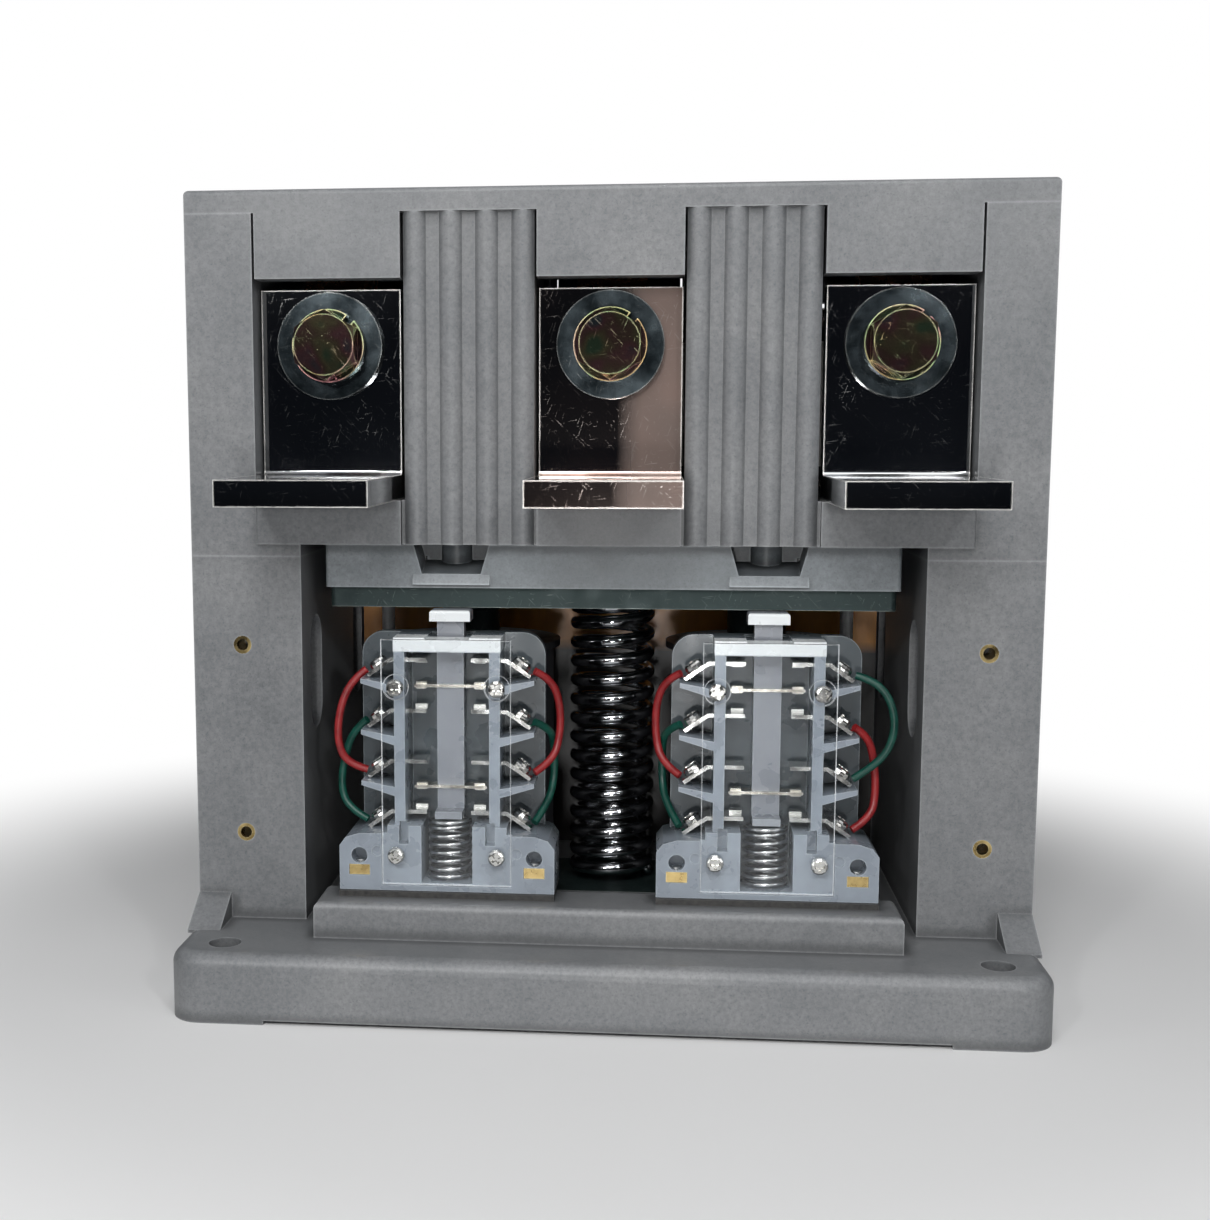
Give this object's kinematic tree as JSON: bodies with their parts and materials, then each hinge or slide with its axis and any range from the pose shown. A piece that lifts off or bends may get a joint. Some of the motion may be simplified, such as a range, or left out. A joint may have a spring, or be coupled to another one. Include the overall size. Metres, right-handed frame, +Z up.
{
  "type": "vacuum contactor",
  "caption": "Three-pole vacuum contactor: grey moulded frame, bent plated terminals, ribbed columns, exposed armature beam, opening spring and two translucent auxiliary switch blocks.",
  "frame": {"origin": "centre of the base at the underside of its feet", "axes": "+X right along the three poles, +Y from the front with the switch blocks to the rear, +Z up"},
  "size_m": [0.238, 0.1976, 0.2275],
  "materials": {
    "moulding_compound": "mottled grey glass-filled moulding compound",
    "beam_moulding": "slightly darker grey moulding compound",
    "zinc_steel": "zinc plated",
    "brass": "machined",
    "plated_terminal": "polished nickel plating over copper, scratched",
    "yellow_zinc_steel": "yellow passivated zinc",
    "dark_zinc_steel": "dark zinc with a bright rim",
    "copper": "bare copper",
    "ceramic": "white alumina ceramic",
    "stainless_steel": "turned",
    "spring_steel": "oiled dark spring steel",
    "dark_magnet_steel": "dark passivated steel",
    "bright_steel": "bright zinc",
    "dark_plate": "dark layered insulating plate",
    "silver_bronze": "silver tipped bronze",
    "black_plastic": "moulded black",
    "coil_tape": "dark insulating tape",
    "phenolic_board": "orange-brown phenolic board",
    "milky_plastic": "milky translucent",
    "clear_plastic": "clear moulded",
    "red_wire": "insulated wire",
    "green_wire": "insulated wire"
  },
  "bodies": {
    "frame": {"base_frame": "moulding_compound", "upper_housing": "moulding_compound", "top_cover": "moulding_compound", "cover_screws": "zinc_steel", "frame_bolts": "zinc_steel", "threaded_inserts": "brass", "front_terminal_left": "plated_terminal", "rear_terminal_left": "plated_terminal", "front_terminal_middle": "plated_terminal", "rear_terminal_middle": "plated_terminal", "front_terminal_right": "plated_terminal", "rear_terminal_right": "plated_terminal", "terminal_bolts": "yellow_zinc_steel", "terminal_spring_washers": "yellow_zinc_steel", "terminal_flat_washers": "dark_zinc_steel", "flexible_connectors": "copper", "fixed_straps": "copper", "fixed_contacts": "copper", "interrupter_tubes": "ceramic", "interrupter_end_caps": "stainless_steel", "bellows": "stainless_steel", "contact_springs": "spring_steel", "opening_spring": "spring_steel", "switch_return_springs": "spring_steel", "magnet_yoke": "dark_magnet_steel", "magnet_cores": "dark_magnet_steel", "coil_bobbins": "black_plastic", "coil_windings": "coil_tape", "rear_board": "phenolic_board", "guide_rods": "stainless_steel", "switch_studs": "bright_steel", "switch_base_plates": "dark_plate", "switch_terminals": "bright_steel", "switch_terminal_screws": "bright_steel", "switch_cover_screws": "bright_steel", "switch_nuts": "brass", "switch_housing_left": "milky_plastic", "switch_cover_left": "clear_plastic", "red_jumper_left_outer": "red_wire", "green_jumper_left_outer": "green_wire", "red_jumper_left_inner": "red_wire", "green_jumper_left_inner": "green_wire", "switch_housing_right": "milky_plastic", "switch_cover_right": "clear_plastic", "red_jumper_right_outer": "red_wire", "green_jumper_right_outer": "green_wire", "red_jumper_right_inner": "red_wire", "green_jumper_right_inner": "green_wire"},
    "crosshead": {"crosshead_beam": "beam_moulding", "armature_plate": "dark_magnet_steel", "armature_screws": "zinc_steel", "crosshead_posts": "beam_moulding", "upper_crossbar": "beam_moulding"},
    "moving_left": {"moving_contact_left": "copper"},
    "moving_middle": {"moving_contact_middle": "copper"},
    "moving_right": {"moving_contact_right": "copper"},
    "plunger_left": {"switch_plunger_left": "milky_plastic", "switch_bridges_left": "silver_bronze"},
    "plunger_right": {"switch_plunger_right": "milky_plastic", "switch_bridges_right": "silver_bronze"}
  },
  "joints": [
    {"name": "crosshead_travel", "type": "slide", "parent": "frame", "child": "crosshead", "axis": [0, 0, -1], "range_m": [0, 0.004], "stiffness_N_per_m": 4000, "springref_m": -0.01, "deforming": ["opening_spring", "contact_springs"]},
    {"name": "contact_left_travel", "type": "slide", "parent": "frame", "child": "moving_left", "axis": [0, 0, -1], "range_m": [0, 0.002], "deforming": ["bellows", "flexible_connectors"]},
    {"name": "contact_middle_travel", "type": "slide", "parent": "frame", "child": "moving_middle", "axis": [0, 0, -1], "range_m": [0, 0.002]},
    {"name": "contact_right_travel", "type": "slide", "parent": "frame", "child": "moving_right", "axis": [0, 0, -1], "range_m": [0, 0.002]},
    {"name": "plunger_left_travel", "type": "slide", "parent": "frame", "child": "plunger_left", "axis": [0, 0, -1], "range_m": [0, 0.004], "deforming": ["switch_return_springs"]},
    {"name": "plunger_right_travel", "type": "slide", "parent": "frame", "child": "plunger_right", "axis": [0, 0, -1], "range_m": [0, 0.004]}
  ],
  "couplings": [
    {"joint": "contact_left_travel", "follows": "crosshead_travel", "ratio": 0.5},
    {"joint": "contact_middle_travel", "follows": "crosshead_travel", "ratio": 0.5},
    {"joint": "contact_right_travel", "follows": "crosshead_travel", "ratio": 0.5},
    {"joint": "plunger_left_travel", "follows": "crosshead_travel", "ratio": 1},
    {"joint": "plunger_right_travel", "follows": "crosshead_travel", "ratio": 1}
  ]
}
